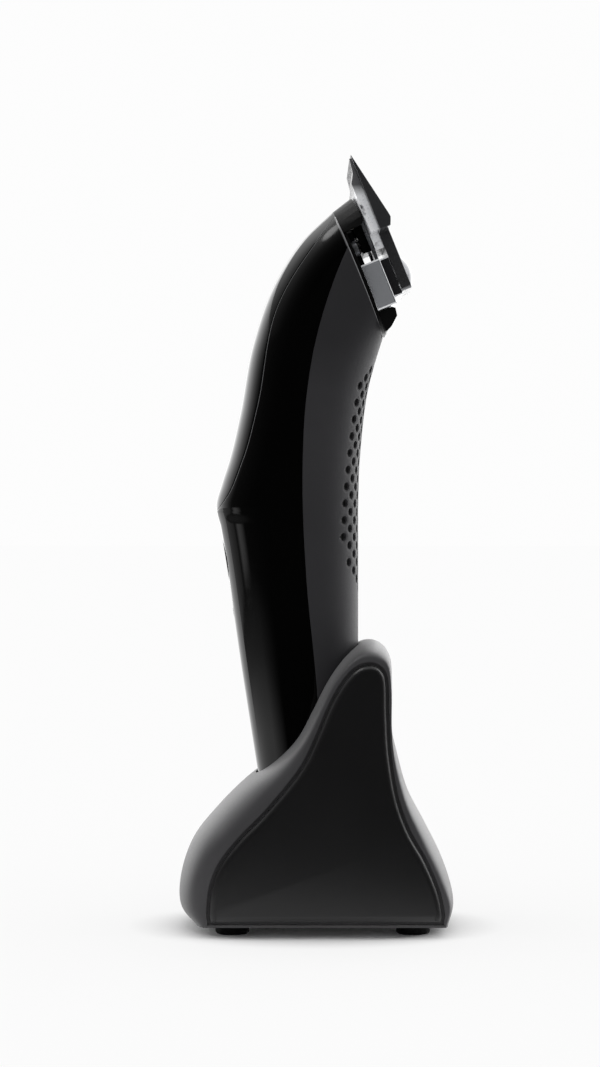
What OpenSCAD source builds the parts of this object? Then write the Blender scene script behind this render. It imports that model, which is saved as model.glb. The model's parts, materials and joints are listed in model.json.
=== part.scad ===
// Cordless hair trimmer with a T-shaped blade, standing in its charging stand.
// X runs from the front (-X, thumb side) to the back (+X), Y across the width, Z up.
// The origin is the middle of the stand's underside, on the table.

/* [Clipper body] */
// Lowest point of the docked clipper
clipper_z = 18; // [17.5:0.5:18.5]
// Wall of the two housings
wall = 2.2; // [2:0.1:2.4]
// Thickness of the front cover plate
cover_t = 1.2; // [1:0.1:1.4]
// Squareness of the body's cross-section, 2 is an ellipse
body_power = 2.5; // [2.3:0.1:2.8]
// Extra half width over the whole body
extra_w = 0; // [0:0.1:0.4]

/* [Head and blades] */
// Lean of the head's seam plane from the horizontal
head_tilt = 68; // [67.5:0.5:68.5]
// Half width of the fixed blade
blade_w = 20; // [19:0.5:21]
// Half width of the moving blade
cutter_w = 17.5; // [16.5:0.5:18]
// Distance between two teeth
tooth_pitch = 1.4; // [1.3:0.1:1.6]
// Depth of the gaps between the teeth
tooth_depth = 2.6; // [2:0.2:3]
// Half width of the blade block
block_w = 13; // [12.5:0.5:13.5]
// Distance between the two blade screws
screw_gap = 12; // [11:0.5:13]

/* [Drive] */
// Centre of the motor, front to back
motor_x = -4; // [-4.2:0.1:-3.8]
// Centre of the motor, height
motor_z = 118; // [117.5:0.5:118.5]
// Lean of the motor's axis from the vertical
motor_tilt = 18.7; // [18.5:0.1:18.9]
// Diameter of the motor can
motor_d = 20; // [19.6:0.1:20.4]
// Thickness of the can between its two flats
motor_flat = 15.4; // [15:0.1:15.4]
// Length of the motor can
motor_l = 25; // [24.5:0.5:25]
// Offset of the drive pin from the shaft's axis
throw = 1; // [0.8:0.1:1]

/* [Battery and board] */
// Diameter of the battery cell
cell_d = 14; // [13.8:0.1:14]
// Length of the battery cell
cell_l = 50; // [49:0.5:50]
// Diameter of the power button
button_d = 10; // [9:0.5:10]

/* [Stand] */
// Half width of the stand over its side panels
stand_w = 25; // [24.5:0.5:25.5]
// How far a side panel stands proud of the shell
panel_rise = 1.5; // [1.2:0.1:1.8]
// Wall of the stand's shell
stand_wall = 2.4; // [2.2:0.1:2.6]
// Gap around the clipper in its socket
socket_gap = 0.5; // [0.4:0.05:0.6]
// Height of the rubber feet
foot_h = 2.6; // [2.4:0.1:2.8]
// Diameter of the rubber feet
foot_d = 7.6; // [7:0.2:8]

/* [Hidden] */

$fn = 48;

// Body stations: [station, front x, front z, back x, back z, half width]
seam_x = 3.8;
seam_z = 163.5;
seam_l = 31;
body_rows = [
    [0, -10.8, 20, 9.8, 20, 12.2],
    [37, -16.6, 57, 9.8, 57, 13.8],
    [72, -22, 92, 9.8, 91, 15.8],
    [77, -22.9, 96.5, 9.8, 95.5, 16],
    [82, -21.6, 101.5, 9.9, 100, 16],
    [87, -20, 106.5, 10, 104, 16],
    [98, -17.5, 117, 10.6, 112, 15.8],
    [114, -14.5, 133, 11.7, 121, 15.5],
    [130, -9, 148, 13.2, 127.5, 15.2],
    [141, -3, 157, 14.4, 131.5, 15],
    [150, seam_x, seam_z, seam_x + seam_l * cos(head_tilt), seam_z - seam_l * sin(head_tilt), 15]
];
// Line where the front and the rear housing meet: [station, x, z]
shell_seam = [
    [0, 1.6, 10], [42, 0.4, 53], [70, -2.2, 81], [93, -3, 103],
    [112, -2.1, 121], [126, 0.1, 134], [141, 4.5, 148.2], [160, 12.9, 166.5]
];
// Line where the front cover meets the front housing: [station, x, z]
cover_seam = [
    [0, -24.5, 93.4], [3, -21.7, 96.2], [14, -16.7, 106.2],
    [27, -13.3, 118.4], [49, -9.1, 140.2], [77, 5.2, 163.5]
];
seam_gap = 0.04;
body_ring_n = 40;
body_ring_count = 26;

// Head frame: t runs down along the seam plane, n leaves it at a right angle
head_x = seam_x + 1.2 * cos(head_tilt);
head_z = seam_z - 1.2 * sin(head_tilt);
plate_n = 0.8;
block_t = [13.4, 24.2];
block_n = 5.4;
stem_w = 10;
stem_n = 10.1;
blade_gap = 0.05;
blade_n = 7.65;
cutter_n = 5.6;
screw_t = 17.8;
tip_t = -9.8;
hood_t = 5;
block_screw = [20.7, 8.2];

// Drive line: distances along the motor's axis from the motor's centre
shaft_r = 1;
pin_r = 1;
hub_r = 4;
neck_r = 2;
hub_k = [17, 28];
pin_k = [39.8, 43.5];
bush_k = [31, 37];
bush_r = 3.4;
running = 0.05;

// Battery, board and button
cell_x = 0.3;
cell_z = 27;
front_lean = 8.9;
board_back = 7;
board_t = 1.2;
button_z = 84;
button_top = -0.6;
button_t = 3.3;
switch_h = 2.2;

// Stand
side_y = stand_w - panel_rise;
pocket = 1;
groove = 0.7;
socket_z = clipper_z - 0.6;
base_t = 2;
feet = [[-18.8, 13], [-18.8, -13], [21.9, 13], [21.9, -13]];
base_posts = [[-10, 17.5], [-10, -17.5], [14, 17.5], [14, -17.5]];
contact_y = 4.5;
contact_x = -0.5;
pin_top_r = 1.1;
inlet_z = 11;
inlet_x = 28.4;
inlet_l = 9;
dock_lean = 4.45;
// Outline of the stand: [x in the middle, z in the middle, x at the side, z at the side]
stand_rows = [
    [-27.6, 2.6, -24.2, 2.6], [-30.8, 6.4, -25, 6.2], [-30.6, 13, -24.3, 12.5], [-28, 20.2, -20.8, 19.2],
    [-22.8, 26.8, -14.5, 26], [-16.6, 33, -8.3, 33], [-10.2, 38, -4, 38.7], [-4.6, 43.6, -1, 44.6],
    [-1, 50, 1.6, 50.6], [2.4, 56.6, 4.2, 56], [6.2, 61.8, 7.2, 59.8], [10.4, 65.1, 10, 61.8],
    [14.2, 65.2, 13.2, 61.8], [16.8, 62.4, 15.8, 60], [17, 56.5, 16.7, 54.5], [16.9, 48, 16.8, 45.5],
    [18.3, 41, 17.6, 37.5], [21, 31.6, 19.8, 29], [25.1, 23.6, 23.3, 20.8], [29, 15.6, 27, 12.8],
    [31.1, 8, 29.2, 7], [29.8, 2.6, 28.6, 2.6]
];
// Outline of a side panel: [x, z]
panel_rows = [
    [-23.5, 3.8], [-23.7, 6], [-23.2, 11], [-21.2, 16.4], [-16.9, 22], [-11.4, 27.6], [-6.2, 33.7],
    [-2.5, 38.8], [0.4, 44.8], [3.1, 51.3], [5.9, 56.4], [8.8, 59.7], [11.8, 60.8], [14.3, 59.8],
    [15.4, 57], [15.6, 50], [16.1, 41], [17.7, 31.4], [20.3, 24], [24, 17.4], [26.8, 10.8],
    [27.9, 5.8], [27.7, 3.8]
];

// ---- Smooth curves through a few rows ----

// Slope of column c at row i
function slope(rows, i, c) =
    let (last = len(rows) - 1)
    let (before = i == 0 ? 0 : (rows[i][c] - rows[i - 1][c]) / (rows[i][0] - rows[i - 1][0]))
    let (after = i == last ? 0 : (rows[i + 1][c] - rows[i][c]) / (rows[i + 1][0] - rows[i][0]))
    i == 0 ? after :
    i == last ? before :
    let (a = rows[i][0] - rows[i - 1][0])
    let (b = rows[i + 1][0] - rows[i][0])
    (after * a + before * b) / (a + b);

function row_at(rows, s, i = 0) = i >= len(rows) - 2 || s < rows[i + 1][0] ? i : row_at(rows, s, i + 1);

// Value of column c at station s
function smooth(rows, s, c) =
    let (i = row_at(rows, s))
    let (h = rows[i + 1][0] - rows[i][0])
    let (u = (s - rows[i][0]) / h)
    let (p = rows[i][c])
    let (q = rows[i + 1][c])
    p * (1 + 2 * u) * pow(1 - u, 2) + q * u * u * (3 - 2 * u)
    + h * slope(rows, i, c) * u * pow(1 - u, 2) + h * slope(rows, i + 1, c) * u * u * (u - 1);

// Rows with their own number as the station
function counted(rows) = [for (i = [0:len(rows) - 1]) concat([i], rows[i])];

// Points of a curve in the XZ plane, from rows of [station, x, z]
function curve(rows, count) =
    let (last = rows[len(rows) - 1][0])
    [for (i = [0:count]) [smooth(rows, last * i / count, 1), smooth(rows, last * i / count, 2)]];

function power(v, e) = sign(v) * pow(abs(v), e);

// ---- Lofts ----

function loft_faces(rings, n) = concat(
    [[for (j = [0:n - 1]) j]],
    [for (i = [0:rings - 2]) for (j = [0:n - 1])
        [i * n + j, (i + 1) * n + j, (i + 1) * n + (j + 1) % n, i * n + (j + 1) % n]],
    [[for (j = [n - 1:-1:0]) (rings - 1) * n + j]]
);

// Closed solid through rings that all have the same number of points
module loft(rings) {
    n = len(rings[0]);
    points = [for (ring = rings) for (p = ring) p];
    polyhedron(points = points, faces = loft_faces(len(rings), n), convexity = 6);
}

// A freeform shell and what is cut from it, kept as one mesh
module one_mesh() resize([0, 0, 0]) children();

// Flat outline in the XZ plane, pushed out to both sides
module xz_prism(points, half) rotate([90, 0, 0]) linear_extrude(2 * half, center = true) polygon(points);

// One cross-section of the body, grown or shrunk, shifted by a vector
function body_ring(s, grow, shift = [0, 0, 0]) =
    let (f = [smooth(body_rows, s, 1), smooth(body_rows, s, 2)])
    let (b = [smooth(body_rows, s, 3), smooth(body_rows, s, 4)])
    let (w = smooth(body_rows, s, 5) + extra_w + grow)
    let (half = norm(b - f) / 2)
    let (along = (b - f) / (2 * half))
    let (mid = (f + b) / 2)
    [for (i = [0:body_ring_n - 1])
        let (a = -360 * i / body_ring_n)
        let (x = -(half + grow) * power(cos(a), 2 / body_power))
        [mid[0] + x * along[0], w * power(sin(a), 2 / body_power), mid[1] + x * along[1]] + shift];

// The body as a closed solid from station s0 to s1; over carries it past each end, for a cut,
// with no ring on the end planes themselves
module body_solid(grow = 0, s0 = 0, s1 = 150, count = body_ring_count, over = 0) {
    up = over * [sin(head_tilt), 0, cos(head_tilt)];
    skip = over > 0 ? 1 : 0;
    middle = [for (i = [skip:count - skip]) body_ring(s0 + (s1 - s0) * i / count, grow)];
    first = over > 0 ? [body_ring(s0, grow, [0, 0, -over])] : [];
    last = over > 0 ? [body_ring(s1, grow, s1 == 150 ? up : [0, 0, over])] : [];
    loft(concat(first, middle, last));
}

// Everything in front of a seam curve
module front_of(rows, margin = 0) {
    line = curve(rows, 24);
    first = line[0];
    last = line[len(line) - 1];
    xz_prism(concat([[-60, first[1]]], [for (p = line) p - [margin, 0]], [[-60, last[1] + 40]]), 40);
}

module at_head() translate([head_x, 0, head_z]) rotate([0, head_tilt, 0]) children();

module at_motor() translate([motor_x, 0, motor_z]) rotate([0, motor_tilt, 0]) children();

// Frame on the lower front face: +Z points out of the clipper, origin on the surface
module at_front(z) {
    x = -10.8 - (z - 20) * tan(front_lean);
    translate([x, 0, z]) rotate([0, -90 - front_lean, 0]) children();
}

module both_sides() {
    children();
    mirror([0, 1, 0]) children();
}

module rod(r, z0, z1) translate([0, 0, z0]) cylinder(r = r, h = z1 - z0);

module tube(r_out, r_in, z0, z1) {
    difference() {
        rod(r_out, z0, z1);
        rod(r_in, z0 - 1, z1 + 1);
    }
}

// Box from its lowest to its highest corner
module block(low, high) translate(low) cube(high - low);

// Screw along Z with its head resting at z = 0, and a recess for the driver
module screw(r, length, head_r, head_h, recess_r) {
    difference() {
        union() {
            rod(r, -length, 0.2);
            rod(head_r, 0, head_h);
        }
        rod(recess_r, head_h / 2, head_h + 1);
    }
}

// Helical spring of round wire, from z0 to z1
module coil_spring(r, wire, turns, z0, z1) {
    per_turn = 10;
    sides = 6;
    steps = turns * per_turn;
    rise = (z1 - z0 - 2 * wire) / steps;
    rings = [for (i = [0:steps])
        [for (j = [0:sides - 1])
            let (a = 360 * i / per_turn)
            let (b = -360 * j / sides)
            let (d = r + wire * cos(b))
            [d * cos(a), d * sin(a), z0 + wire + rise * i + wire * sin(b)]]];
    loft(rings);
}

// ---- Stand ----

// Blend from the middle outline (0) to the side outline (1) at a distance y from the middle
function side_blend(y, half) = 1 - pow(1 - pow(min(1, abs(y) / half), 2.6), 1 / 2.6);

function stand_ring(y, half, grow) =
    let (rows = counted(stand_rows))
    let (last = len(stand_rows) - 1)
    let (k = side_blend(y, half))
    let (line = [for (i = [0:2 * last])
        [smooth(rows, i / 2, 1) * (1 - k) + smooth(rows, i / 2, 3) * k,
         smooth(rows, i / 2, 2) * (1 - k) + smooth(rows, i / 2, 4) * k]])
    let (count = len(line))
    [for (i = [0:count - 1])
        let (a = line[max(0, i - 1)])
        let (b = line[min(count - 1, i + 1)])
        let (along = (b - a) / norm(b - a))
        let (low = i == 0 || i == count - 1)
        [line[i][0] - along[1] * grow, y, low ? foot_h + min(0, grow) : line[i][1] + along[0] * grow]];

// The stand's outer form, grown or shrunk
module stand_solid(grow = 0) {
    steps = 20;
    half = side_y + grow;
    loft([for (i = [0:steps]) stand_ring(-half * cos(180 * i / steps), half, grow)]);
}

// Outline of a side panel moved outwards by a distance, with two sharp lower corners
function panel_line(grow) =
    let (rows = counted(panel_rows))
    let (last = 2 * len(panel_rows) - 2)
    let (line = [for (i = [0:last]) [smooth(rows, i / 2, 1), smooth(rows, i / 2, 2)]])
    [for (i = [0:last])
        let (a = line[max(0, i - 1)])
        let (b = line[min(last, i + 1)])
        let (along = (b - a) / norm(b - a))
        i == 0 ? line[i] - [grow, grow] :
        i == last ? line[i] + [grow, -grow] :
        line[i] + grow * [-along[1], along[0]]];

module side_panel() {
    edge = 1.1;
    ring = function(y, grow) [for (p = panel_line(grow)) [p[0], y, p[1]]];
    arc = [for (i = [0:4]) ring(stand_w - edge + edge * sin(i * 22.5), -edge * (1 - cos(i * 22.5)))];
    loft(concat([ring(side_y - pocket, 0)], arc));
}

module side_panel_left() color("#1c1c1e") one_mesh() mirror([0, 1, 0]) side_panel();

module side_panel_right() color("#1c1c1e") one_mesh() side_panel();

// Pocket in the shell's side for a panel and the groove around it
module panel_pocket() {
    translate([0, stand_w + 5, 0])
        rotate([90, 0, 0]) linear_extrude(5 + panel_rise + pocket) polygon(panel_line(groove));
}

// Space that the clipper fills in the socket, with its gap
module socket_space(grow) {
    body_solid(grow = grow, s0 = 0, s1 = 70, count = 10);
    loft([for (z = [socket_z - max(0, grow - socket_gap), 20]) body_ring(0, grow, [0, 0, z - 20])]);
}

module inlet_frame() translate([inlet_x, 0, inlet_z]) rotate([0, 90, 0]) children();

module stand_shell() {
    color("#26262a") one_mesh() {
        difference() {
            union() {
                difference() {
                    stand_solid();
                    stand_solid(-stand_wall);
                }
                intersection() {
                    socket_space(socket_gap + 2);
                    stand_solid();
                }
                for (p = base_posts) translate([p[0], p[1], foot_h + base_t]) cylinder(r = 3, h = 14);
                both_sides() for (x = [base_posts[0][0], base_posts[2][0]])
                    translate([0, 0, foot_h + base_t])
                        block([x - 1.2, base_posts[0][1], 0], [x + 1.2, side_y - pocket - 0.6, 14]);
            }
            socket_space(socket_gap);
            both_sides() panel_pocket();
            for (p = base_posts) translate([p[0], p[1], 0]) cylinder(r = 1.25, h = 14);
            translate([contact_x, 0, 0]) cube([13.4, 17.4, 60], center = true);
            inlet_frame() cylinder(r = 4.6, h = 20, center = true);
        }
    }
}

// Outline of the base plate, a step inside the shell's lower edge
function base_outline(inset) =
    let (half = side_y - inset)
    let (count = 12)
    let (first = stand_rows[0])
    let (last = stand_rows[len(stand_rows) - 1])
    let (front = [for (i = [0:count])
        let (y = -half * cos(180 * i / count))
        let (k = side_blend(y, half))
        [first[0] * (1 - k) + first[2] * k + inset, y]])
    let (back = [for (i = [count:-1:0])
        let (y = -half * cos(180 * i / count))
        let (k = side_blend(y, half))
        [last[0] * (1 - k) + last[2] * k - inset, y]])
    concat(front, back);

module base_plate() {
    color("#1b1b1d") difference() {
        translate([0, 0, foot_h]) linear_extrude(base_t) polygon(base_outline(stand_wall + 0.3));
        for (p = base_posts) translate([p[0], p[1], 0]) {
            rod(1.3, 0, 10);
            rod(2.6, 0, foot_h + 1);
        }
        for (p = feet) translate([p[0], p[1], 0]) rod(1.6, 0, 10);
    }
}

module rubber_feet() {
    color("#101010") for (p = feet) translate([p[0], p[1], 0]) {
        translate([0, 0, 0.4]) cylinder(r = foot_d / 2, h = foot_h - 0.4);
        cylinder(r1 = foot_d / 2 - 0.4, r2 = foot_d / 2, h = 0.4);
        rod(1.6, foot_h - 0.1, foot_h + 1.6);
    }
}

module base_screws() {
    color("#8c8f94") for (p = base_posts)
        translate([p[0], p[1], foot_h + 1]) mirror([0, 0, 1]) screw(1.2, 8, 2.4, 0.9, 1.1);
}

holder_z = [8, 17.1];
pin_rest = clipper_z - 0.05;

module contact_holder() {
    color("#3a3a3d") difference() {
        translate([contact_x, 0, 0]) {
            block([-6.5, -8.5, holder_z[0]], [6.5, 8.5, holder_z[1]]);
            block([-8, -10, holder_z[0]], [8, 10, holder_z[0] + 1.5]);
        }
        translate([contact_x, 0, 0]) both_sides() translate([0, contact_y, 0]) {
            rod(pin_top_r + running, holder_z[0] - 1, 20);
            rod(2.4, holder_z[0] - 1, holder_z[1] - 1.3);
        }
    }
}

module contact_pin(side) {
    color("#d9b45b") translate([contact_x, side * contact_y, 0]) {
        rod(pin_top_r, 12, pin_rest - 0.6);
        translate([0, 0, pin_rest - 0.6]) cylinder(r1 = pin_top_r, r2 = 0.5, h = 0.6);
        rod(2.1, 13.6, 14.4);
        rod(0.7, 9.6, 12.2);
    }
}

module pin_spring(side) {
    color("#b9bcc2") translate([contact_x, side * contact_y, 0]) coil_spring(1.75, 0.2, 5, 8.1, 13.5);
}

module contact_pin_left() contact_pin(-1);
module contact_pin_right() contact_pin(1);
module pin_spring_left() pin_spring(-1);
module pin_spring_right() pin_spring(1);

module stand_board() {
    color("#1f5c3a") difference() {
        block([-16, -10.5, 6.6], [18.2, 10.5, 7.8]);
        translate([contact_x, 0, 0]) both_sides() translate([0, contact_y, 0]) rod(0.9, 0, 10);
        both_sides() translate([-13, 7.5, 0]) rod(1.1, 0, 10);
    }
    color("#303030") block([-14, -3, 7.8], [-9.5, 3, 9]);
    color("#4d4d50") both_sides() translate([12, 7, 0]) rod(2.4, 7.8, 13);
}

module dc_inlet() {
    color("#161616") difference() {
        union() {
            inlet_frame() rod(4.4, -inlet_l - 1, 0);
            block([inlet_x - 13.5, -4.6, 7.8], [inlet_x - inlet_l, 4.6, 15.5]);
        }
        inlet_frame() rod(2.8, -inlet_l, 1);
        inlet_frame() rod(0.8, -14, 1);
    }
}

module inlet_pin() {
    color("#c9ccd1") inlet_frame() {
        rod(1, -inlet_l, -1);
        rod(0.8, -13.4, -inlet_l + 0.1);
    }
}

// ---- Clipper housings ----

module body_shell() {
    difference() {
        body_solid();
        body_solid(grow = -wall, over = 1);
    }
}

module button_hole(extra) at_front(button_z) rod(button_d / 2 + extra, -5, 3);

module light_hole(extra) at_front(button_z - 12) rod(1 + extra, -8, 3);

head_screw_t = 9.2;
head_screw_y = 10.6;

module front_housing() {
    color("#0b0b0c") one_mesh() {
        difference() {
            union() {
                intersection() {
                    body_shell();
                    front_of(shell_seam);
                }
                intersection() {
                    body_solid(grow = -0.4);
                    at_head() both_sides() translate([head_screw_t, head_screw_y, 0]) rod(2.6, -11, 0);
                }
            }
            difference() {
                front_of(cover_seam);
                body_solid(grow = -cover_t, over = 1);
            }
            button_hole(0.15);
            light_hole(0);
            at_head() both_sides() translate([head_screw_t, head_screw_y, 0]) rod(1.1, -9.5, 1);
        }
    }
}

// Small latch hole at each side of the rear lip, in the head frame
detent = [28.2, 5.4, -0.9];

module rear_housing() {
    color("#303034") one_mesh() {
        difference() {
            union() {
                difference() {
                    body_shell();
                    front_of(shell_seam, -seam_gap);
                }
                intersection() {
                    body_solid(grow = -0.4);
                    both_sides() translate([5.2, 7.6, 22]) rod(2.2, 0, 9);
                }
            }
            both_sides() translate([5.2, 7.6, 0]) rod(1.1, 0, 30);
            at_head() both_sides() translate(detent) rotate([0, 90, 0]) rod(0.7, 0, 4);
        }
    }
}

module front_cover() {
    color("#0b0b0c") one_mesh() intersection() {
        difference() {
            body_solid();
            body_solid(grow = -cover_t, over = 1);
        }
        front_of(cover_seam, seam_gap);
    }
}

module bottom_cap() {
    ring = function(grow) [for (p = body_ring(0, grow)) [p[0], p[1]]];
    color("#202022") difference() {
        union() {
            translate([0, 0, clipper_z + 0.8]) linear_extrude(20 - clipper_z - 0.8) polygon(ring(0));
            translate([0, 0, clipper_z]) linear_extrude(0.8) polygon(ring(-0.8));
            translate([0, 0, 20]) linear_extrude(2) polygon(ring(-wall - 0.15));
        }
        both_sides() translate([5.2, 7.6, 0]) {
            rod(1.15, 0, 30);
            rod(2.1, 0, clipper_z + 1.2);
        }
        translate([contact_x, 0, 0]) both_sides() block([-2.5, contact_y - 2, 0], [2.5, contact_y + 2, 30]);
    }
}

module bottom_screws() {
    color("#7d8086") both_sides()
        translate([5.2, 7.6, clipper_z + 1.2]) mirror([0, 0, 1]) screw(1, 8, 2, 0.9, 0.9);
}

module charge_contacts() {
    color("#d9b45b") translate([contact_x, 0, 0]) both_sides() {
        block([-2.5, contact_y - 2, clipper_z], [2.5, contact_y + 2, clipper_z + 0.8]);
        block([-1, contact_y - 1.5, clipper_z + 0.7], [1, contact_y + 1.5, 24]);
    }
}

// ---- Board, button and battery ----

module power_button() {
    color("#141415") at_front(button_z) {
        rod(button_d / 2, -button_t, button_top - 0.3);
        translate([0, 0, button_top - 0.3]) cylinder(r1 = button_d / 2, r2 = button_d / 2 - 0.3, h = 0.3);
        rod(button_d / 2 + 0.9, -button_t - 0.7, -button_t);
    }
}

module switch_plunger() {
    color("#2a2a2a") at_front(button_z) rod(1.1, -board_back + switch_h - 1, -button_t - 0.7);
}

module tactile_switch() {
    color("#b4b7bb") at_front(button_z) difference() {
        block([-3, -3, -board_back], [3, 3, -board_back + switch_h]);
        rod(1.1 + running, -board_back + 0.2, 0);
    }
}

module circuit_board() {
    color("#1f5c3a") at_front(button_z) difference() {
        block([-34, -8, -board_back - board_t], [9, 8, -board_back]);
        translate([-12, 0, 0]) rod(1.2, -10, 0);
    }
    color("#232325") at_front(button_z) {
        block([-24, -3.5, -board_back], [-17, 3.5, -board_back + 1.2]);
        block([-31, -6, -board_back], [-27.5, -2, -board_back + 1]);
        block([-31, 2, -board_back], [-28, 5, -board_back + 1.6]);
    }
    color("#8a8d92") at_front(button_z) block([-9.5, -6.5, -board_back], [-6.5, -3.5, -board_back + 1.4]);
}

module light_pipe() {
    color("#dfe9ee") at_front(button_z - 12) {
        rod(1, -6.4, -0.1);
        rod(1.8, -4.4, -3.4);
    }
}

module battery_cell() {
    color("#3c6ea5") translate([cell_x, 0, cell_z]) {
        rod(cell_d / 2, 0, cell_l - 1);
        rod(2.6, cell_l - 1, cell_l);
    }
}

module battery_tabs() {
    color("#c6c9ce") translate([cell_x, 0, cell_z]) {
        block([-2.5, -2.5, cell_l], [2.5, 2.5, cell_l + 0.3]);
        block([-2.5, -9.6, cell_l], [2.5, -2.5, cell_l + 0.3]);
        block([-2.5, -2.5, -0.3], [2.5, 2.5, 0]);
        block([-2.5, -9.6, -0.3], [2.5, -2.5, 0]);
    }
}

module battery_cradle() {
    rail = [7.1, 9.3];
    color("#46464a") translate([cell_x, 0, cell_z]) {
        both_sides() block([-3, rail[0], 0.05], [2.4, rail[1], cell_l - 0.05]);
        difference() {
            block([-5.5, -rail[1], -2.3], [2.4, rail[1], -0.3]);
            rod(1.5, -4, 1);
        }
        block([-5.5, -rail[1], cell_l + 0.3], [5.5, rail[1], cell_l + 2.3]);
        block([-3, rail[0], -2.3], [2.4, rail[1], cell_l + 2.3]);
        block([-5.5, -rail[1], -2.3], [-2.6, -rail[0], cell_l + 2.3]);
    }
}

// ---- Motor and drive ----

can_half = motor_l / 2;
can_wall = 0.8;

module flat_round(d, flat, z0, z1) {
    intersection() {
        rod(d / 2, z0, z1);
        block([-flat / 2, -d, z0 - 1], [flat / 2, d, z1 + 1]);
    }
}

module motor_can() {
    color("#9ea2a8") at_motor() difference() {
        union() {
            flat_round(motor_d, motor_flat, -can_half, can_half);
            rod(3, can_half, can_half + 1.6);
        }
        flat_round(motor_d - 2 * can_wall, motor_flat - 2 * can_wall, -can_half - 1, can_half - can_wall);
        rod(shaft_r + running, -20, 20);
        for (y = [-8, 8]) translate([0, y, 0]) rod(0.7, can_half - 2, can_half + 1);
    }
}

module motor_magnets() {
    color("#55565a") at_motor() both_sides() difference() {
        intersection() {
            tube(motor_d / 2 - can_wall, 6.6, -8, 8);
            block([-motor_flat / 2 + can_wall, 3, -9], [motor_flat / 2 - can_wall, 12, 9]);
        }
    }
}

module motor_end_cap() {
    inner = motor_d - 2 * can_wall;
    flat = motor_flat - 2 * can_wall;
    color("#e8e4da") at_motor() difference() {
        union() {
            flat_round(inner, flat, -can_half, -can_half + 1.6);
            rod(2.6, -can_half - 1.4, -can_half + 1.6);
        }
        rod(shaft_r + running, -20, 0);
        both_sides() block([-1.2, 5.4, -20], [1.2, 6, 0]);
    }
}

module motor_brushes() {
    color("#c58a4a") at_motor() both_sides() {
        block([-1.2, 5.4, -can_half - 3], [1.2, 6, -can_half + 3.4]);
        block([-1.2, 2.6, -can_half + 2.8], [1.2, 6, -can_half + 3.4]);
    }
}

module motor_armature() {
    slots = 3;
    color("#7a4b2a") at_motor() difference() {
        rod(5.8, -5.6, 7.6);
        rod(shaft_r, -20, 20);
        for (i = [0:slots - 1]) rotate([0, 0, 60 + i * 360 / slots]) block([3, -0.8, -20], [8, 0.8, 20]);
    }
}

module commutator() color("#c77b3b") at_motor() tube(2.4, shaft_r, -9.9, -5.6);

module motor_shaft() color("#d0d3d8") at_motor() rod(shaft_r, -can_half - 1.4, hub_k[1] - 3);

module eccentric_cam() {
    color("#e3e1dc") at_motor() difference() {
        union() {
            rod(hub_r, hub_k[0], hub_k[1]);
            rod(neck_r, hub_k[1] - 0.1, pin_k[0]);
            translate([throw, 0, 0]) rod(pin_r, pin_k[0] - 0.1, pin_k[1]);
        }
        rod(shaft_r, 0, hub_k[1] - 3);
    }
}

module motor_bracket() {
    color("#3b3b3f") at_motor() difference() {
        union() {
            block([-7.6, -10, can_half], [7.6, 10, can_half + 2]);
            block([-4.5, -12, can_half], [4.5, 12, can_half + 2]);
            both_sides() block([-4.5, 10.4, can_half - 10], [4.5, 12, can_half + 2]);
        }
        rod(3.05, 0, 30);
        for (y = [-8, 8]) translate([0, y, 0]) rod(0.95, 0, 30);
    }
}

module motor_screws() {
    color("#8c8f94") at_motor() for (y = [-8, 8])
        translate([0, y, can_half + 2]) screw(0.7, 3.5, 1.6, 1, 0.7);
}

module drive_bush() color("#b08a4c") at_motor() tube(bush_r, neck_r + running, bush_k[0], bush_k[1]);

module shaft_seal() color("#5c5148") at_motor() tube(bush_r, neck_r + 0.2, bush_k[0] - 1.5, bush_k[0]);

// Straight piece of wire between two points
module wire(p, q, r) {
    d = q - p;
    translate(p) rotate([0, acos(d[2] / norm(d)), atan2(d[1], d[0])]) cylinder(r = r, h = norm(d));
}

module motor_leads() color("#a02222") both_sides() wire([-9.4, 5.7, 102], [-13.3, 5.2, 94.9], 0.5);

module battery_leads() color("#222222") both_sides() wire([-3.4, 8.2, 80.4], [-11.4, 7, 82], 0.5);

// ---- Head ----

// Outline of the body on the seam plane, grown or shrunk
function head_ring(grow) =
    let (half = seam_l / 2 + grow)
    [for (i = [0:body_ring_n - 1])
        let (a = 360 * i / body_ring_n)
        let (t = half * power(cos(a), 2 / body_power))
        [t + seam_l / 2 - 1.2, (15 + extra_w + grow) * power(sin(a), 2 / body_power)]];

module head_plate(z0, z1, grow) translate([0, 0, z0]) linear_extrude(z1 - z0) polygon(head_ring(grow));

// The hood's outer form: flush with the body at the seam plane, and flaring towards the blades
module hood_form(grow) {
    flare = 0.28;
    loft([for (n = [0, 6]) [for (p = head_ring(grow + flare * n)) [p[0], p[1], n]]]);
}

module head_cap() {
    hood = [[-4, 0], [-4, 5], [hood_t - 0.8, 5.2], [hood_t, 4.4], [hood_t, 0]];
    color("#18181a") difference() {
        union() {
            at_head() {
                head_plate(0, plate_n, -0.6);
                intersection() {
                    xz_prism(hood, 15.4);
                    hood_form(0);
                }
                block([hood_t - 0.1, -8, 0], [13, 8, 2.2]);
            }
            intersection() {
                at_motor() rod(bush_r + 1.2, bush_k[0] - 1.5, bush_k[1]);
                at_head() block([-5, -8, -20], [13, 8, 2.2]);
            }
        }
        at_head() intersection() {
            block([-3, -12.6, plate_n], [hood_t + 0.1, 12.6, 5.9]);
            hood_form(-2);
        }
        at_motor() {
            rod(bush_r, 20, bush_k[1]);
            rod(neck_r + 0.4, 20, 46);
        }
        at_head() both_sides() {
            translate([head_screw_t, head_screw_y, 0]) rod(1.15, -2, 8);
            translate([block_screw[0], block_screw[1], 0]) rod(1, -2, 8);
        }
    }
}

module head_screws() {
    color("#8c8f94") at_head() both_sides()
        translate([head_screw_t, head_screw_y, plate_n]) screw(1, 8, 1.8, 1.1, 0.8);
}

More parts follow.
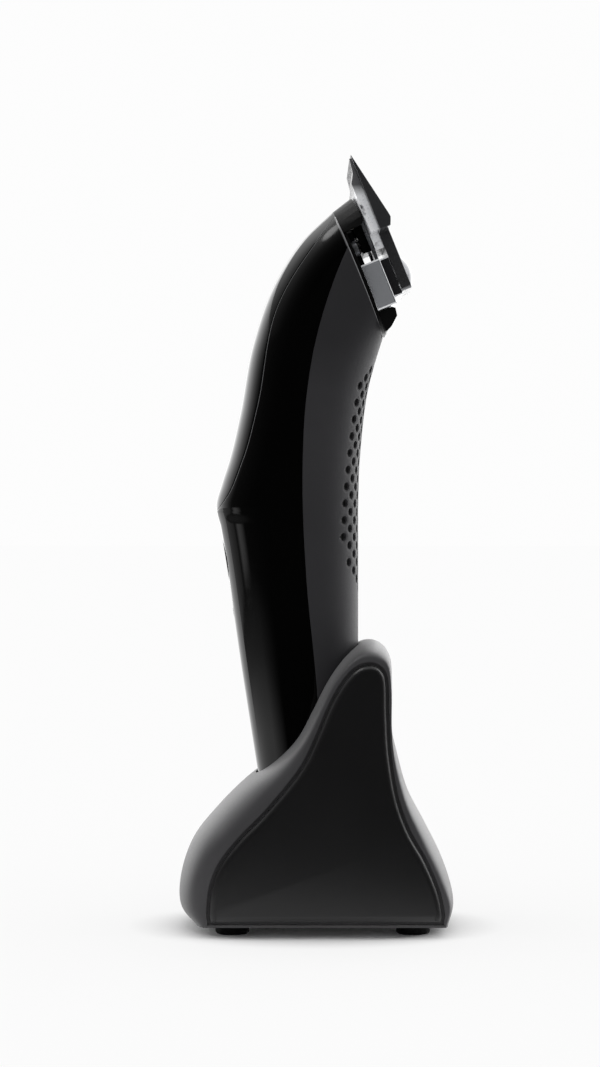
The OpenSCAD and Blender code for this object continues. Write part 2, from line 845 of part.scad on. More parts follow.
module chin() {
    side = [
        [24.4, plate_n], [24.4, 4.2], [24.9, 4.8], [26.7, 4.5],
        [28.5, 2.4], [29.1, 1.1], [29, plate_n]
    ];
    color("#0e0e0f") at_head() xz_prism(side, 11);
}

module blade_block() {
    color("#c9ccd2") difference() {
        at_head() difference() {
            union() {
                block([block_t[0], -block_w, plate_n], [block_t[1], block_w, block_n]);
                block([block_t[0], -stem_w, block_n - 0.1], [block_t[1] - 1.6, stem_w, blade_n]);
            }
            both_sides() translate([screw_t, screw_gap / 2, 0]) rod(1.3, 2, 12);
            both_sides() translate([block_screw[0], block_screw[1], 0]) {
                rod(1, 0, 12);
                rod(1.7, blade_n - 2, 12);
            }
        }
        at_motor() rod(bush_r + 0.15, bush_k[0], bush_k[1] + 0.2);
    }
}

module block_screws() {
    color("#8c8f94") at_head() both_sides()
        translate([block_screw[0], block_screw[1], blade_n - 2]) screw(0.9, 9, 1.6, 1.2, 0.7);
}

// Gaps between the teeth of a blade of a given half width
module tooth_gaps(half, t0, n0, n1, gap) {
    count = floor(half / tooth_pitch) - 1;
    for (i = [-count:count]) {
        y = i * tooth_pitch;
        block([t0 - 1, y - gap / 2, n0], [t0 + tooth_depth, y + gap / 2, n1]);
    }
}

module fixed_blade() {
    bend = 10.85;
    wing = [
        [tip_t, blade_n], [tip_t, blade_n + 0.1], [5.4, bend - 0.1], [6.2, bend],
        [7, bend - 0.3], [8, stem_n], [8, blade_n]
    ];
    end_t = 20.1;
    corner = 1.8;
    color("#55585d") at_head() difference() {
        union() {
            xz_prism(wing, blade_w);
            block([7.9, -stem_w, blade_n], [end_t, stem_w, stem_n]);
            block([end_t - 0.1, -stem_w + corner, blade_n], [end_t + corner, stem_w - corner, stem_n]);
            both_sides() translate([end_t, stem_w - corner, 0]) rod(corner, blade_n, stem_n);
        }
        tooth_gaps(blade_w, tip_t, 5, 14, 0.6);
        both_sides() translate([screw_t, screw_gap / 2, 0]) rod(1.7, 5, 14);
    }
}

module blade_screws() {
    head_r = 3.9;
    rise = 1.4;
    ball = (head_r * head_r + rise * rise) / (2 * rise);
    color("#d3d6da") at_head() both_sides() translate([screw_t, screw_gap / 2, stem_n]) difference() {
        union() {
            rod(1.25, -6, 0.1);
            intersection() {
                translate([0, 0, rise - ball]) sphere(r = ball);
                rod(head_r, 0, rise + 1);
            }
        }
        block([-4, -0.4, rise - 0.6], [4, 0.4, rise + 1]);
    }
}

module blade_spring() {
    color("#8f9297") at_head() {
        both_sides() block([2.6, 8, 4.7], [block_t[0], 8.9, 5.5]);
        block([block_t[0] - 1, -8.9, 4.7], [block_t[0], 8.9, 5.5]);
    }
}

module moving_blade() {
    top = blade_n - blade_gap;
    tip = tip_t + 0.4;
    back_t = 11.2;
    side = [
        [tip, top], [tip, top - 0.35], [tip + 3.4, top - 0.85], [tip + 5.4, cutter_n],
        [back_t, cutter_n], [back_t, top]
    ];
    color("#dfe2e6") at_head() difference() {
        intersection() {
            xz_prism(side, cutter_w);
            union() {
                block([-14, -20, 5], [7.6, 20, 10]);
                block([1, -stem_w + 0.4, 5], [12, stem_w - 0.4, 10]);
            }
        }
        tooth_gaps(cutter_w, tip, 5, 10, 0.6);
    }
}

module drive_yoke() {
    slot = pin_r + 2 * throw + 0.3;
    color("#1e1e20") at_head() difference() {
        block([1.2, -6.2, 2.9], [10.6, 6.2, cutter_n]);
        block([2.6, -slot, 2], [9.6, slot, cutter_n + 1]);
    }
}

stand_shell();
side_panel_left();
side_panel_right();
base_plate();
rubber_feet();
base_screws();
contact_holder();
contact_pin_left();
contact_pin_right();
pin_spring_left();
pin_spring_right();
stand_board();
dc_inlet();
inlet_pin();
front_housing();
rear_housing();
front_cover();
head_cap();
chin();
bottom_cap();
bottom_screws();
charge_contacts();
power_button();
switch_plunger();
tactile_switch();
circuit_board();
light_pipe();
battery_cell();
battery_tabs();
battery_cradle();
motor_can();
motor_magnets();
motor_end_cap();
motor_brushes();
motor_bracket();
motor_screws();
motor_armature();
commutator();
motor_shaft();
eccentric_cam();
drive_bush();
shaft_seal();
blade_block();
block_screws();
head_screws();
fixed_blade();
blade_screws();
blade_spring();
moving_blade();
drive_yoke();
motor_leads();
battery_leads();
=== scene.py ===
import json
import math

import bmesh
import bpy
import numpy as np
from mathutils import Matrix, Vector


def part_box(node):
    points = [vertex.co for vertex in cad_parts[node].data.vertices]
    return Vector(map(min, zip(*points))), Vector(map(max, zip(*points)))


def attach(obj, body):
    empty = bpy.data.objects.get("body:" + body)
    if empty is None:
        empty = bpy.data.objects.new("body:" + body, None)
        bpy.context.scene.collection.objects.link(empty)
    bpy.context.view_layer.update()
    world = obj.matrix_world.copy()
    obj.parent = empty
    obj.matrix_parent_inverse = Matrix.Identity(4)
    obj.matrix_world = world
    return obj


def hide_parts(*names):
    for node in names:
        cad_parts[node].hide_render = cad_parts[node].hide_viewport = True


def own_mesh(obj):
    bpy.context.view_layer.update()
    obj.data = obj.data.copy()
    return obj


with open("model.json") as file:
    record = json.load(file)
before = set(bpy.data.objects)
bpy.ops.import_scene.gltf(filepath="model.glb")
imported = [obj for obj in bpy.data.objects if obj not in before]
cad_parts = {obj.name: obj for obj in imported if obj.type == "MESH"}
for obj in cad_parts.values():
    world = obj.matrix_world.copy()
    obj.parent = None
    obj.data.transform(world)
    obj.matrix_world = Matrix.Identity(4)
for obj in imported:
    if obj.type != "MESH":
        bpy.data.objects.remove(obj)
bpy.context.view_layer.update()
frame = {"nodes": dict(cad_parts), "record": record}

nodes = frame["nodes"]
collection = bpy.context.scene.collection
MM = 0.001
# Points closer than this are one point
WELD = 2e-6

# ---- Camera: level, looking along +Y at the clipper's side ----

# Image rows, rows per millimetre at the middle of the object, and the sensor's height
FRAME_H, ROWS_PER_MM, SENSOR = 1067, 4.35, 36
camera_place = Vector((-3.56, -650, 90)) * MM
camera = bpy.data.objects.new("camera", bpy.data.cameras.new("camera"))
camera.data.sensor_fit = "VERTICAL"
camera.data.sensor_height = SENSOR
camera.data.lens = SENSOR * ROWS_PER_MM * -camera_place.y / MM / FRAME_H
camera.data.clip_start = 0.01
camera.data.clip_end = 50
camera.location = camera_place
camera.rotation_euler = (math.radians(90), 0, 0)
collection.objects.link(camera)
bpy.context.scene.camera = camera

# ---- Control rows, the same as the part's own, in millimetres ----

SEAM_X, SEAM_Z, SEAM_L = 3.8, 163.5, 31
HEAD_TILT = math.radians(68)
SEAM_BACK_X = SEAM_X + SEAM_L * math.cos(HEAD_TILT)
SEAM_BACK_Z = SEAM_Z - SEAM_L * math.sin(HEAD_TILT)
# The head's own origin, and how far out along its normal the block's seat starts
HEAD_CORNER, SEAT_START = (4.25, 0, 162.39), 5
BODY_POWER = 2.5
WALL, COVER_T = 2.2, 1.2
# [station, front x, front z, back x, back z, half width]
BODY_ROWS = np.array([
    [0, -10.8, 20, 9.8, 20, 12.2],
    [37, -16.6, 57, 9.8, 57, 13.8],
    [72, -22, 92, 9.8, 91, 15.8],
    [77, -22.9, 96.5, 9.8, 95.5, 16],
    [82, -21.6, 101.5, 9.9, 100, 16],
    [87, -20, 106.5, 10, 104, 16],
    [98, -17.5, 117, 10.6, 112, 15.8],
    [114, -14.5, 133, 11.7, 121, 15.5],
    [130, -9, 148, 13.2, 127.5, 15.2],
    [141, -3, 157, 14.4, 131.5, 15],
    [150, SEAM_X, SEAM_Z, SEAM_BACK_X, SEAM_BACK_Z, 15],
])
# [station, x, z]
SHELL_SEAM = np.array([
    [0, 1.6, 10], [42, 0.4, 53], [70, -2.2, 81], [93, -3, 103],
    [112, -2.1, 121], [126, 0.1, 134], [141, 4.5, 148.2], [160, 12.9, 166.5],
])
COVER_SEAM = np.array([
    [0, -24.5, 93.4], [3, -21.7, 96.2], [14, -16.7, 106.2],
    [27, -13.3, 118.4], [49, -9.1, 140.2], [77, 5.2, 163.5],
])
STAND_WALL, STAND_W, PANEL_RISE, POCKET, GROOVE, FOOT_H = 2.4, 25, 1.5, 1, 0.7, 2.6
SIDE_Y = STAND_W - PANEL_RISE
# [x in the middle, z in the middle, x at the side, z at the side]
STAND_ROWS = np.array([
    [-27.6, 2.6, -24.2, 2.6], [-30.8, 6.4, -25, 6.2], [-30.6, 13, -24.3, 12.5],
    [-28, 20.2, -20.8, 19.2], [-22.8, 26.8, -14.5, 26], [-16.6, 33, -8.3, 33],
    [-10.2, 38, -4, 38.7], [-4.6, 43.6, -1, 44.6],
    [-1, 50, 1.6, 50.6], [2.4, 56.6, 4.2, 56], [6.2, 61.8, 7.2, 59.8], [10.4, 65.1, 10, 61.8],
    [14.2, 65.2, 13.2, 61.8], [16.8, 62.4, 15.8, 60], [17, 56.5, 16.7, 54.5], [16.9, 48, 16.8, 45.5],
    [18.3, 41, 17.6, 37.5], [21, 31.6, 19.8, 29], [25.1, 23.6, 23.3, 20.8], [29, 15.6, 27, 12.8],
    [31.1, 8, 29.2, 7], [29.8, 2.6, 28.6, 2.6],
])
# [x, z]
PANEL_ROWS = np.array([
    [-23.5, 3.8], [-23.7, 6], [-23.2, 11], [-21.2, 16.4], [-16.9, 22], [-11.4, 27.6], [-6.2, 33.7],
    [-2.5, 38.8], [0.4, 44.8], [3.1, 51.3], [5.9, 56.4], [8.8, 59.7], [11.8, 60.8], [14.3, 59.8],
    [15.4, 57], [15.6, 50], [16.1, 41], [17.7, 31.4], [20.3, 24], [24, 17.4], [26.8, 10.8],
    [27.9, 5.8], [27.7, 3.8],
])


def smooth(rows, station, column):
    """Value of a column at a station: the part's own smooth curve through the rows."""
    x, v = rows[:, 0], rows[:, column]
    step = np.diff(x)
    rise = np.diff(v) / step
    slope = np.concatenate([
        rise[:1], (rise[1:] * step[:-1] + rise[:-1] * step[1:]) / (step[:-1] + step[1:]), rise[-1:],
    ])
    i = np.clip(np.searchsorted(x, station, side="right") - 1, 0, len(x) - 2)
    u = (station - x[i]) / step[i]
    return (
        v[i] * (1 + 2 * u) * (1 - u) ** 2 + v[i + 1] * u * u * (3 - 2 * u)
        + step[i] * slope[i] * u * (1 - u) ** 2 + step[i] * slope[i + 1] * u * u * (u - 1)
    )


def counted(rows):
    """The rows with their own number as the station."""
    return np.hstack([np.arange(len(rows))[:, None], rows])


def power(v, e):
    return np.sign(v) * np.abs(v) ** e


def body_point(station, angle, grow=0.0):
    """Points of the body: angle 0 is the front line, pi the back line."""
    fx, fz, bx, bz, w = (smooth(BODY_ROWS, station, c) for c in range(1, 6))
    half = np.hypot(bx - fx, bz - fz) / 2
    along_x, along_z = (bx - fx) / (2 * half), (bz - fz) / (2 * half)
    x = -(half + grow) * power(np.cos(angle), 2 / BODY_POWER)
    y = (w + grow) * power(np.sin(angle), 2 / BODY_POWER)
    return np.stack([(fx + bx) / 2 + x * along_x, y, (fz + bz) / 2 + x * along_z], axis=-1)


def seam_angle(rows, station):
    """Angle at which a station's ring crosses a seam curve, or 0 where it is all behind the seam."""
    s = np.linspace(rows[0, 0], rows[-1, 0], 400)
    line_x, line_z = smooth(rows, s, 1), smooth(rows, s, 2)
    low, high = np.zeros_like(station), np.full_like(station, math.pi)
    for _ in range(40):
        mid = (low + high) / 2
        p = body_point(station, mid)
        at = np.interp(p[:, 2], line_z, line_x)
        # Below its first row a seam runs off to the front
        at = np.where(p[:, 2] < line_z[0], line_x[0] - 40 * (line_z[0] - p[:, 2]), at)
        front = p[:, 0] < at
        low, high = np.where(front, mid, low), np.where(front, high, mid)
    angle = (low + high) / 2
    return np.where(angle < 1e-6, 0.0, angle)


def arc_angles(station, start, end, places):
    """Angles at given distances (mm) along each ring between two angles.
    places is a function of the whole length that gives the distances, one row per station."""
    turn = np.linspace(0, 1, 241)
    angle = start[:, None] + (end - start)[:, None] * turn
    p = body_point(station[:, None], angle)
    length = np.zeros(angle.shape)
    length[:, 1:] = np.cumsum(np.linalg.norm(np.diff(p, axis=1), axis=2), axis=1)
    whole = length[:, -1:]
    wanted = places(whole)
    found = np.stack([np.interp(wanted[i], length[i], angle[i]) for i in range(len(station))])
    return found, wanted, whole


def grid_object(name, points, tags):
    """A skin of quads through a grid of points in millimetres; each tag has a value per point."""
    rows, columns = points.shape[:2]
    index = np.arange(rows * columns).reshape(rows, columns)
    corners = [index[:-1, :-1], index[:-1, 1:], index[1:, 1:], index[1:, :-1]]
    quads = np.stack(corners, axis=-1).reshape(-1, 4)
    mesh = bpy.data.meshes.new(name)
    mesh.from_pydata((points.reshape(-1, 3) * MM).tolist(), [], quads.tolist())
    for tag, values in tags.items():
        attribute = mesh.attributes.new(tag, "FLOAT", "POINT")
        attribute.data.foreach_set("value", values.astype(np.float32).ravel())
    work = bmesh.new()
    work.from_mesh(mesh)
    bmesh.ops.remove_doubles(work, verts=work.verts, dist=WELD)
    bmesh.ops.recalc_face_normals(work, faces=work.faces)
    work.to_mesh(mesh)
    work.free()
    mesh.update()
    obj = bpy.data.objects.new(name, mesh)
    collection.objects.link(obj)
    smooth_shading(obj, 40)
    return obj


def loft_object(name, rings):
    """A closed solid through closed rings of points in millimetres."""
    rings = np.asarray(rings, float)
    count, n = rings.shape[:2]
    index = np.arange(count * n).reshape(count, n)
    after = np.roll(index, -1, axis=1)
    quads = np.stack([index[:-1], after[:-1], after[1:], index[1:]], axis=-1).reshape(-1, 4)
    faces = quads.tolist() + [index[0, ::-1].tolist(), index[-1].tolist()]
    mesh = bpy.data.meshes.new(name)
    mesh.from_pydata((rings.reshape(-1, 3) * MM).tolist(), [], faces)
    work = bmesh.new()
    work.from_mesh(mesh)
    bmesh.ops.recalc_face_normals(work, faces=work.faces)
    work.to_mesh(mesh)
    work.free()
    obj = bpy.data.objects.new(name, mesh)
    collection.objects.link(obj)
    return obj


def settle(obj):
    """Applies the object's modifiers to its mesh."""
    bpy.context.view_layer.update()
    solved = obj.evaluated_get(bpy.context.evaluated_depsgraph_get())
    baked = bpy.data.meshes.new_from_object(solved)
    obj.modifiers.clear()
    obj.data = baked


def combine(obj, other, operation):
    """Boolean of two closed solids; the second one is used up."""
    modifier = obj.modifiers.new("combine", "BOOLEAN")
    modifier.operation = operation
    modifier.solver = "MANIFOLD"
    modifier.object = other
    settle(obj)
    bpy.data.objects.remove(other)


def smooth_shading(obj, degrees):
    """Smooth faces, with sharp edges where they turn by more than the angle."""
    mesh = obj.data
    mesh.polygons.foreach_set("use_smooth", [True] * len(mesh.polygons))
    mesh.set_sharp_from_angle(angle=math.radians(degrees))


# ---- Materials ----

def base_material(name, colour, roughness, metallic=0.0, specular=0.5):
    material = bpy.data.materials.new(name)
    material.use_nodes = True
    shader = material.node_tree.nodes["Principled BSDF"]
    shader.inputs["Base Color"].default_value = (*colour, 1)
    shader.inputs["Roughness"].default_value = roughness
    shader.inputs["Metallic"].default_value = metallic
    shader.inputs["Specular IOR Level"].default_value = specular
    return material, shader


def noise(material, scale, detail=3.0, stretch=(1, 1, 1), roughness=0.5):
    """Noise over the object's own coordinates; scale is in cells per metre."""
    tree = material.node_tree
    place = tree.nodes.new("ShaderNodeTexCoord")
    mapping = tree.nodes.new("ShaderNodeMapping")
    mapping.inputs["Scale"].default_value = stretch
    texture = tree.nodes.new("ShaderNodeTexNoise")
    texture.inputs["Scale"].default_value = scale
    texture.inputs["Detail"].default_value = detail
    texture.inputs["Roughness"].default_value = roughness
    tree.links.new(place.outputs["Object"], mapping.inputs["Vector"])
    tree.links.new(mapping.outputs["Vector"], texture.inputs["Vector"])
    return texture.outputs["Fac"]


def spread(material, value, low, high, start=0.3, end=0.7):
    """Maps a value between start and end onto low to high."""
    node = material.node_tree.nodes.new("ShaderNodeMapRange")
    node.inputs["From Min"].default_value = start
    node.inputs["From Max"].default_value = end
    node.inputs["To Min"].default_value = low
    node.inputs["To Max"].default_value = high
    material.node_tree.links.new(value, node.inputs["Value"])
    return node.outputs["Result"]


def mixed(material, factor, low, high):
    """Colour running from low to high with a factor. Each end is a colour or another node's output."""
    tree = material.node_tree
    mix = tree.nodes.new("ShaderNodeMix")
    mix.data_type = "RGBA"
    tree.links.new(factor, mix.inputs["Factor"])
    for end, socket in ((low, mix.inputs[6]), (high, mix.inputs[7])):
        if isinstance(end, tuple):
            socket.default_value = (*end, 1)
        else:
            tree.links.new(end, socket)
    return mix.outputs[2]


def tint(material, shader, value, low, high):
    """Base colour running from low to high with a value."""
    material.node_tree.links.new(mixed(material, value, low, high), shader.inputs["Base Color"])


def vary_roughness(material, shader, value, low, high):
    material.node_tree.links.new(spread(material, value, low, high), shader.inputs["Roughness"])


def tag_value(material, name):
    """The value that grid_object gave each point under a tag."""
    tag = material.node_tree.nodes.new("ShaderNodeAttribute")
    tag.attribute_name = name
    return tag.outputs["Fac"]


def distance_along(material, direction):
    """Distance in metres along a direction, in the object's own coordinates."""
    tree = material.node_tree
    place = tree.nodes.new("ShaderNodeTexCoord")
    dot = tree.nodes.new("ShaderNodeVectorMath")
    dot.operation = "DOT_PRODUCT"
    dot.inputs[1].default_value = direction
    tree.links.new(place.outputs["Object"], dot.inputs[0])
    return dot.outputs["Value"]


def bump(material, shader, value, strength, depth_mm):
    """Fine relief that follows a value."""
    tree = material.node_tree
    node = tree.nodes.new("ShaderNodeBump")
    node.inputs["Strength"].default_value = strength
    node.inputs["Distance"].default_value = depth_mm * MM
    tree.links.new(value, node.inputs["Height"])
    tree.links.new(node.outputs["Normal"], shader.inputs["Normal"])


def grey(v):
    return (v, v, v)


def plastic(name, low, high, rough, grain, depth, specular=0.5, sheen=0.0):
    """Moulded plastic with a fine grain and slow changes of colour, and sheen if it is soft to touch."""
    material, shader = base_material(name, low, rough[0], specular=specular)
    shader.inputs["Sheen Weight"].default_value = sheen
    shader.inputs["Sheen Roughness"].default_value = 0.5
    slow = noise(material, 60, 4)
    tint(material, shader, spread(material, slow, 0, 1), low, high)
    fine = noise(material, grain, 5, roughness=0.6)
    vary_roughness(material, shader, fine, *rough)
    bump(material, shader, fine, 0.5, depth)
    return material


def metal(name, colour, rough, stretch, scale, low=0.85, metallic=1.0):
    """Machined metal with its grinding lines along one axis."""
    material, shader = base_material(name, colour, rough[0], metallic=metallic)
    lines = noise(material, scale, 6, stretch, roughness=0.65)
    clouds = noise(material, 180, 4)
    tint(material, shader, spread(material, clouds, 0, 1), tuple(c * low for c in colour), colour)
    vary_roughness(material, shader, lines, *rough)
    bump(material, shader, lines, 0.35, 0.004)
    return material


def painted_rim_highlight(material, shader, colour):
    """Base colour with a painted highlight: a pale line along the shell's rim."""
    tint(material, shader, tag_value(material, "rim"), colour, (0.16, 0.16, 0.165))


def gloss_black():
    material, shader = base_material("gloss_black", grey(0.0005), 0.06, specular=0.36)
    slow = noise(material, 25, 3)
    haze = noise(material, 900, 6, roughness=0.7)
    vary_roughness(material, shader, haze, 0.05, 0.11)
    bump(material, shader, slow, 0.2, 0.05)
    skin = mixed(material, spread(material, slow, 0, 1), grey(0.0003), grey(0.0006))
    # Painted highlight along the shell's rim and along the cover's edge
    painted_rim_highlight(material, shader, skin)
    return material


def matte_grey():
    material, shader = base_material("matte_grey", (0.026, 0.025, 0.028), 0.5, specular=0.35)
    fine = noise(material, 3200, 4, roughness=0.6)
    slow = spread(material, noise(material, 45, 4), 0, 1)
    skin = mixed(material, slow, (0.0205, 0.02, 0.0228), (0.026, 0.0253, 0.0283))
    # Painted shade: towards the head the shell is a little darker, and deep in a dimple or latch dent it
    # is black
    upper = spread(material, distance_along(material, (0, 0, 1)), 0, 0.8, 0.122, 0.134)
    skin = mixed(material, upper, skin, (0.016, 0.0156, 0.018))
    skin = mixed(material, tag_value(material, "dimple"), skin, (0.004, 0.004, 0.0047))
    vary_roughness(material, shader, fine, 0.48, 0.62)
    bump(material, shader, fine, 0.35, 0.03)
    # Painted highlight along the shell's rim
    painted_rim_highlight(material, shader, skin)
    return material


def clear_plastic():
    material, shader = base_material("clear_plastic", (0.9, 0.92, 0.95), 0.15)
    shader.inputs["Transmission Weight"].default_value = 0.9
    vary_roughness(material, shader, noise(material, 700, 3), 0.12, 0.22)
    return material


# A pale colour that paints the shine of steel: the moving blade's reflection and the block's chamfer
# highlights
PAINTED_HIGHLIGHT_STEEL = (0.85, 0.86, 0.88)
GROUND_STEEL = (0.72, 0.74, 0.78)


def painted_chamfer_highlight():
    """The blade block's chamfers, painted pale as a highlight."""
    material, shader = base_material("painted_chamfer_highlight", PAINTED_HIGHLIGHT_STEEL, 0.25, metallic=0.3)
    vary_roughness(material, shader, noise(material, 3000, 3), 0.2, 0.34)
    return material


def painted_reflection_steel():
    """The moving blade's steel as a pale colour with dark patches, both a painted reflection, and darker
    at its teeth, painted shade.
    """
    material, shader = base_material("painted_reflection_steel", PAINTED_HIGHLIGHT_STEEL, 0.3, metallic=0.2)
    # Painted reflection: dark patches over the pale colour
    painted_reflections = spread(material, noise(material, 420, 2, (1, 0.4, 1)), 0, 1, 0.3, 0.42)
    steel = mixed(material, painted_reflections, (0.1, 0.1, 0.11), PAINTED_HIGHLIGHT_STEEL)
    # Painted shade: the teeth are darker
    teeth = spread(material, distance_along(material, (0, 0, 1)), 0, 1, 0.1655, 0.168)
    tint(material, shader, teeth, steel, (0.11, 0.11, 0.115))
    grind = noise(material, 2600, 4, (1, 0.1, 1))
    vary_roughness(material, shader, grind, 0.24, 0.4)
    bump(material, shader, grind, 0.3, 0.01)
    return material


def block_steel():
    """The block's ground steel; its raised seat lies in the blade's shade."""
    material, shader = base_material("block_steel", GROUND_STEEL, 0.15, metallic=0.79)
    vary_roughness(material, shader, noise(material, 900, 3, (1, 0.3, 0.3)), 0.1, 0.2)
    outward = Vector((math.sin(HEAD_TILT), 0, math.cos(HEAD_TILT)))
    seat = outward.dot(Vector(HEAD_CORNER) * MM) + SEAT_START * MM
    in_shade = spread(material, distance_along(material, outward), 0, 1, seat, seat + 0.3 * MM)
    tint(material, shader, in_shade, GROUND_STEEL, (0.06, 0.06, 0.065))
    return material


SLOTS = {
    "gloss_black": gloss_black(),
    "matte_grey": matte_grey(),
    "satin_black": plastic("satin_black", grey(0.003), grey(0.005), (0.2, 0.26), 2200, 0.02, 0.06),
    "stand_black": plastic(
        "stand_black", (0.032, 0.031, 0.0336), (0.04, 0.0388, 0.0422), (0.42, 0.52), 2600, 0.03,
        sheen=0.2,
    ),
    "polished_steel": metal(
        "polished_steel", GROUND_STEEL, (0.1, 0.2), (1, 0.3, 0.3), 900, low=0.7, metallic=0.79,
    ),
    "blade_steel": metal(
        "blade_steel", (0.17, 0.172, 0.18), (0.16, 0.3), (0.05, 1, 0.05), 1500, metallic=0.88,
    ),
    "plain_steel": metal("plain_steel", (0.42, 0.43, 0.45), (0.22, 0.36), (1, 1, 1), 700, metallic=0.9),
    "rubber_black": plastic("rubber_black", grey(0.0015), grey(0.003), (0.65, 0.85), 1500, 0.05, 0.2),
    "contact_gold": metal("contact_gold", (0.75, 0.5, 0.2), (0.15, 0.3), (1, 1, 0.1), 1200),
    "copper": metal("copper", (0.65, 0.3, 0.16), (0.25, 0.4), (1, 1, 0.1), 1500),
    "board_green": plastic(
        "board_green", (0.008, 0.06, 0.025), (0.012, 0.08, 0.03), (0.3, 0.45), 1200, 0.03,
    ),
    "inner_plastic": plastic("inner_plastic", grey(0.03), grey(0.04), (0.45, 0.6), 1800, 0.03),
    "pale_plastic": plastic(
        "pale_plastic", (0.55, 0.54, 0.5), (0.62, 0.6, 0.56), (0.4, 0.55), 1800, 0.03,
    ),
    "clear_plastic": clear_plastic(),
    "cell_wrap": plastic("cell_wrap", (0.03, 0.09, 0.3), (0.035, 0.1, 0.34), (0.25, 0.35), 800, 0.02),
    "magnet_grey": plastic("magnet_grey", grey(0.05), grey(0.07), (0.4, 0.6), 1500, 0.05),
}
PANEL_BLACK = plastic(
    "panel_black", (0.0042, 0.004, 0.0046), (0.0056, 0.0054, 0.006), (0.3, 0.4), 2600, 0.03,
    sheen=0.04,
)
slot_of = {row["node"]: row["material_slot"] for row in frame["record"]["subparts"]}
# CAD nodes whose look differs from the rest of their slot
OWN_LOOK = {
    # The moving blade's colour paints its reflection and shade
    "moving_blade": painted_reflection_steel(),
    "blade_block": block_steel(),
    "blade_screws": SLOTS["blade_steel"],
}


def dress(obj, slot, body, *stands_for):
    """Gives a piece its material, its body and the CAD nodes that it stands for."""
    obj.data.materials.clear()
    obj.data.materials.append(SLOTS[slot])
    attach(obj, body)
    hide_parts(*stands_for)
    return obj


# ---- Clipper shells ----

# Radius of the shells' edges, and places and depths along such an edge as shares of it
EDGE = 0.16
EDGE_AT, EDGE_SINKS = [0, 0, 0.12, 0.45], [0.9, 0.45, 0.12]
# The body's last station, and the last one before the rounded rim
TOP, BELOW_RIM = BODY_ROWS[-1, 0], 149.4
RING_END = np.array([TOP - 1.2 * EDGE, TOP - 0.5 * EDGE, TOP - 0.1 * EDGE, TOP, TOP])
RING_END_DEPTH = np.array([0, 0.1 * EDGE, 0.4 * EDGE, EDGE, WALL])


def rounded_ends(length, inner, radius):
    """Distances along a ring: its rounded start, the inner places, and its rounded end."""
    start = np.hstack([share * radius for share in EDGE_AT])
    return np.hstack([start, inner, (length - start)[:, ::-1]])


def edge_radius(length):
    return np.minimum(EDGE, length / 5)


def edge_depths(inner_count, deep):
    """Depth below the skin at those places: down the wall, round the edge and along the skin."""
    end = [deep] + [EDGE * share for share in EDGE_SINKS]
    return np.array(end + [0.0] * inner_count + end[::-1])


def end_rows(inner):
    """The stations with the rounded upper rim after them, and how deep each lies."""
    return np.concatenate([inner, RING_END]), np.concatenate([np.zeros(len(inner)), RING_END_DEPTH])


def rim_highlight_tag(stations, angles):
    """1 along the painted highlight line at the shells' upper rim, 0 elsewhere."""
    line = np.clip((stations[:, None] - (TOP - 0.26)) / 0.06, 0, 1)
    return np.broadcast_to(line, angles.shape)


# [height, radius, depth] of the wells of the power button and the charge light, on the front line
WELLS = [[84, 5.18, 1.6], [72, 1.02, 1.2]]
# Columns of the front housing's sides: within reach of the wells, and beyond it
FRONT_NEAR, FRONT_FAR, WELL_REACH = 36, 33, 6.4


def front_places(length):
    """Distances from the cover seam, or from the front line below it, to the shell seam."""
    r = edge_radius(length)
    near = np.minimum(WELL_REACH, length * 0.4)
    first = r + (near - r) * np.linspace(0, 1, FRONT_NEAR)
    rest = near + (length - r - near) * np.linspace(0, 1, FRONT_FAR + 1)[1:]
    return rounded_ends(length, np.hstack([first, rest]), r)


def front_housing():
    # The stations are closest together around the wells
    stations, end_depth = end_rows(np.concatenate([
        np.linspace(0, 50, 40), np.arange(50.2, 72, 0.17), np.linspace(72.1, 84, 60),
        np.linspace(84.5, BELOW_RIM, 110),
    ]))
    shell = seam_angle(SHELL_SEAM, stations)
    cover = seam_angle(COVER_SEAM, stations)
    # 0 below the cover, rising to 1 where the cover is fully let in
    deep = np.clip(cover / 0.25, 0, 1)[:, None]
    side, wanted, _ = arc_angles(stations, cover, shell, front_places)
    side_depth = np.broadcast_to(edge_depths(FRONT_NEAR + FRONT_FAR, WALL), side.shape).copy()
    side_depth[:, :4] *= np.array([COVER_T / WALL, 1, 1, 1]) * deep
    below = body_point(stations[:, None], side)
    for height, radius, depth in WELLS:
        r = np.hypot(wanted, below[..., 2] - height)
        wall = np.clip((radius + 0.12 - r) / 0.2, 0, 1) * (cover[:, None] == 0)
        side_depth = np.maximum(side_depth, depth * wall * wall * (3 - 2 * wall))
    middle = -cover[:, None] + 2 * cover[:, None] * np.linspace(0, 1, 34)[None, 1:-1]
    # Under the cover the housing's skin lies just below the cover's inner face
    middle_depth = np.broadcast_to((COVER_T + 0.02) * deep, middle.shape)
    angles = np.hstack([-side[:, ::-1], middle, side])
    depths = np.hstack([side_depth[:, ::-1], middle_depth, side_depth])
    depths = np.maximum(depths, end_depth[:, None])
    points = body_point(stations[:, None], angles, -depths)
    # Along the rounded edge by the cover the highlight is painted into the colour as well
    edge = np.zeros(side.shape)
    edge[:, 2:5] = 0.6 * (deep > 0.99)
    edge = np.hstack([edge[:, ::-1], np.zeros(middle.shape), edge])
    rim = np.maximum(edge, rim_highlight_tag(stations, angles))
    return grid_object("front_housing_shell", points, {"rim": rim})


COVER_COLUMNS = 70


def cover_places(length):
    r = edge_radius(length)
    return rounded_ends(length, r + (length - 2 * r) * np.linspace(0, 1, COVER_COLUMNS), r)


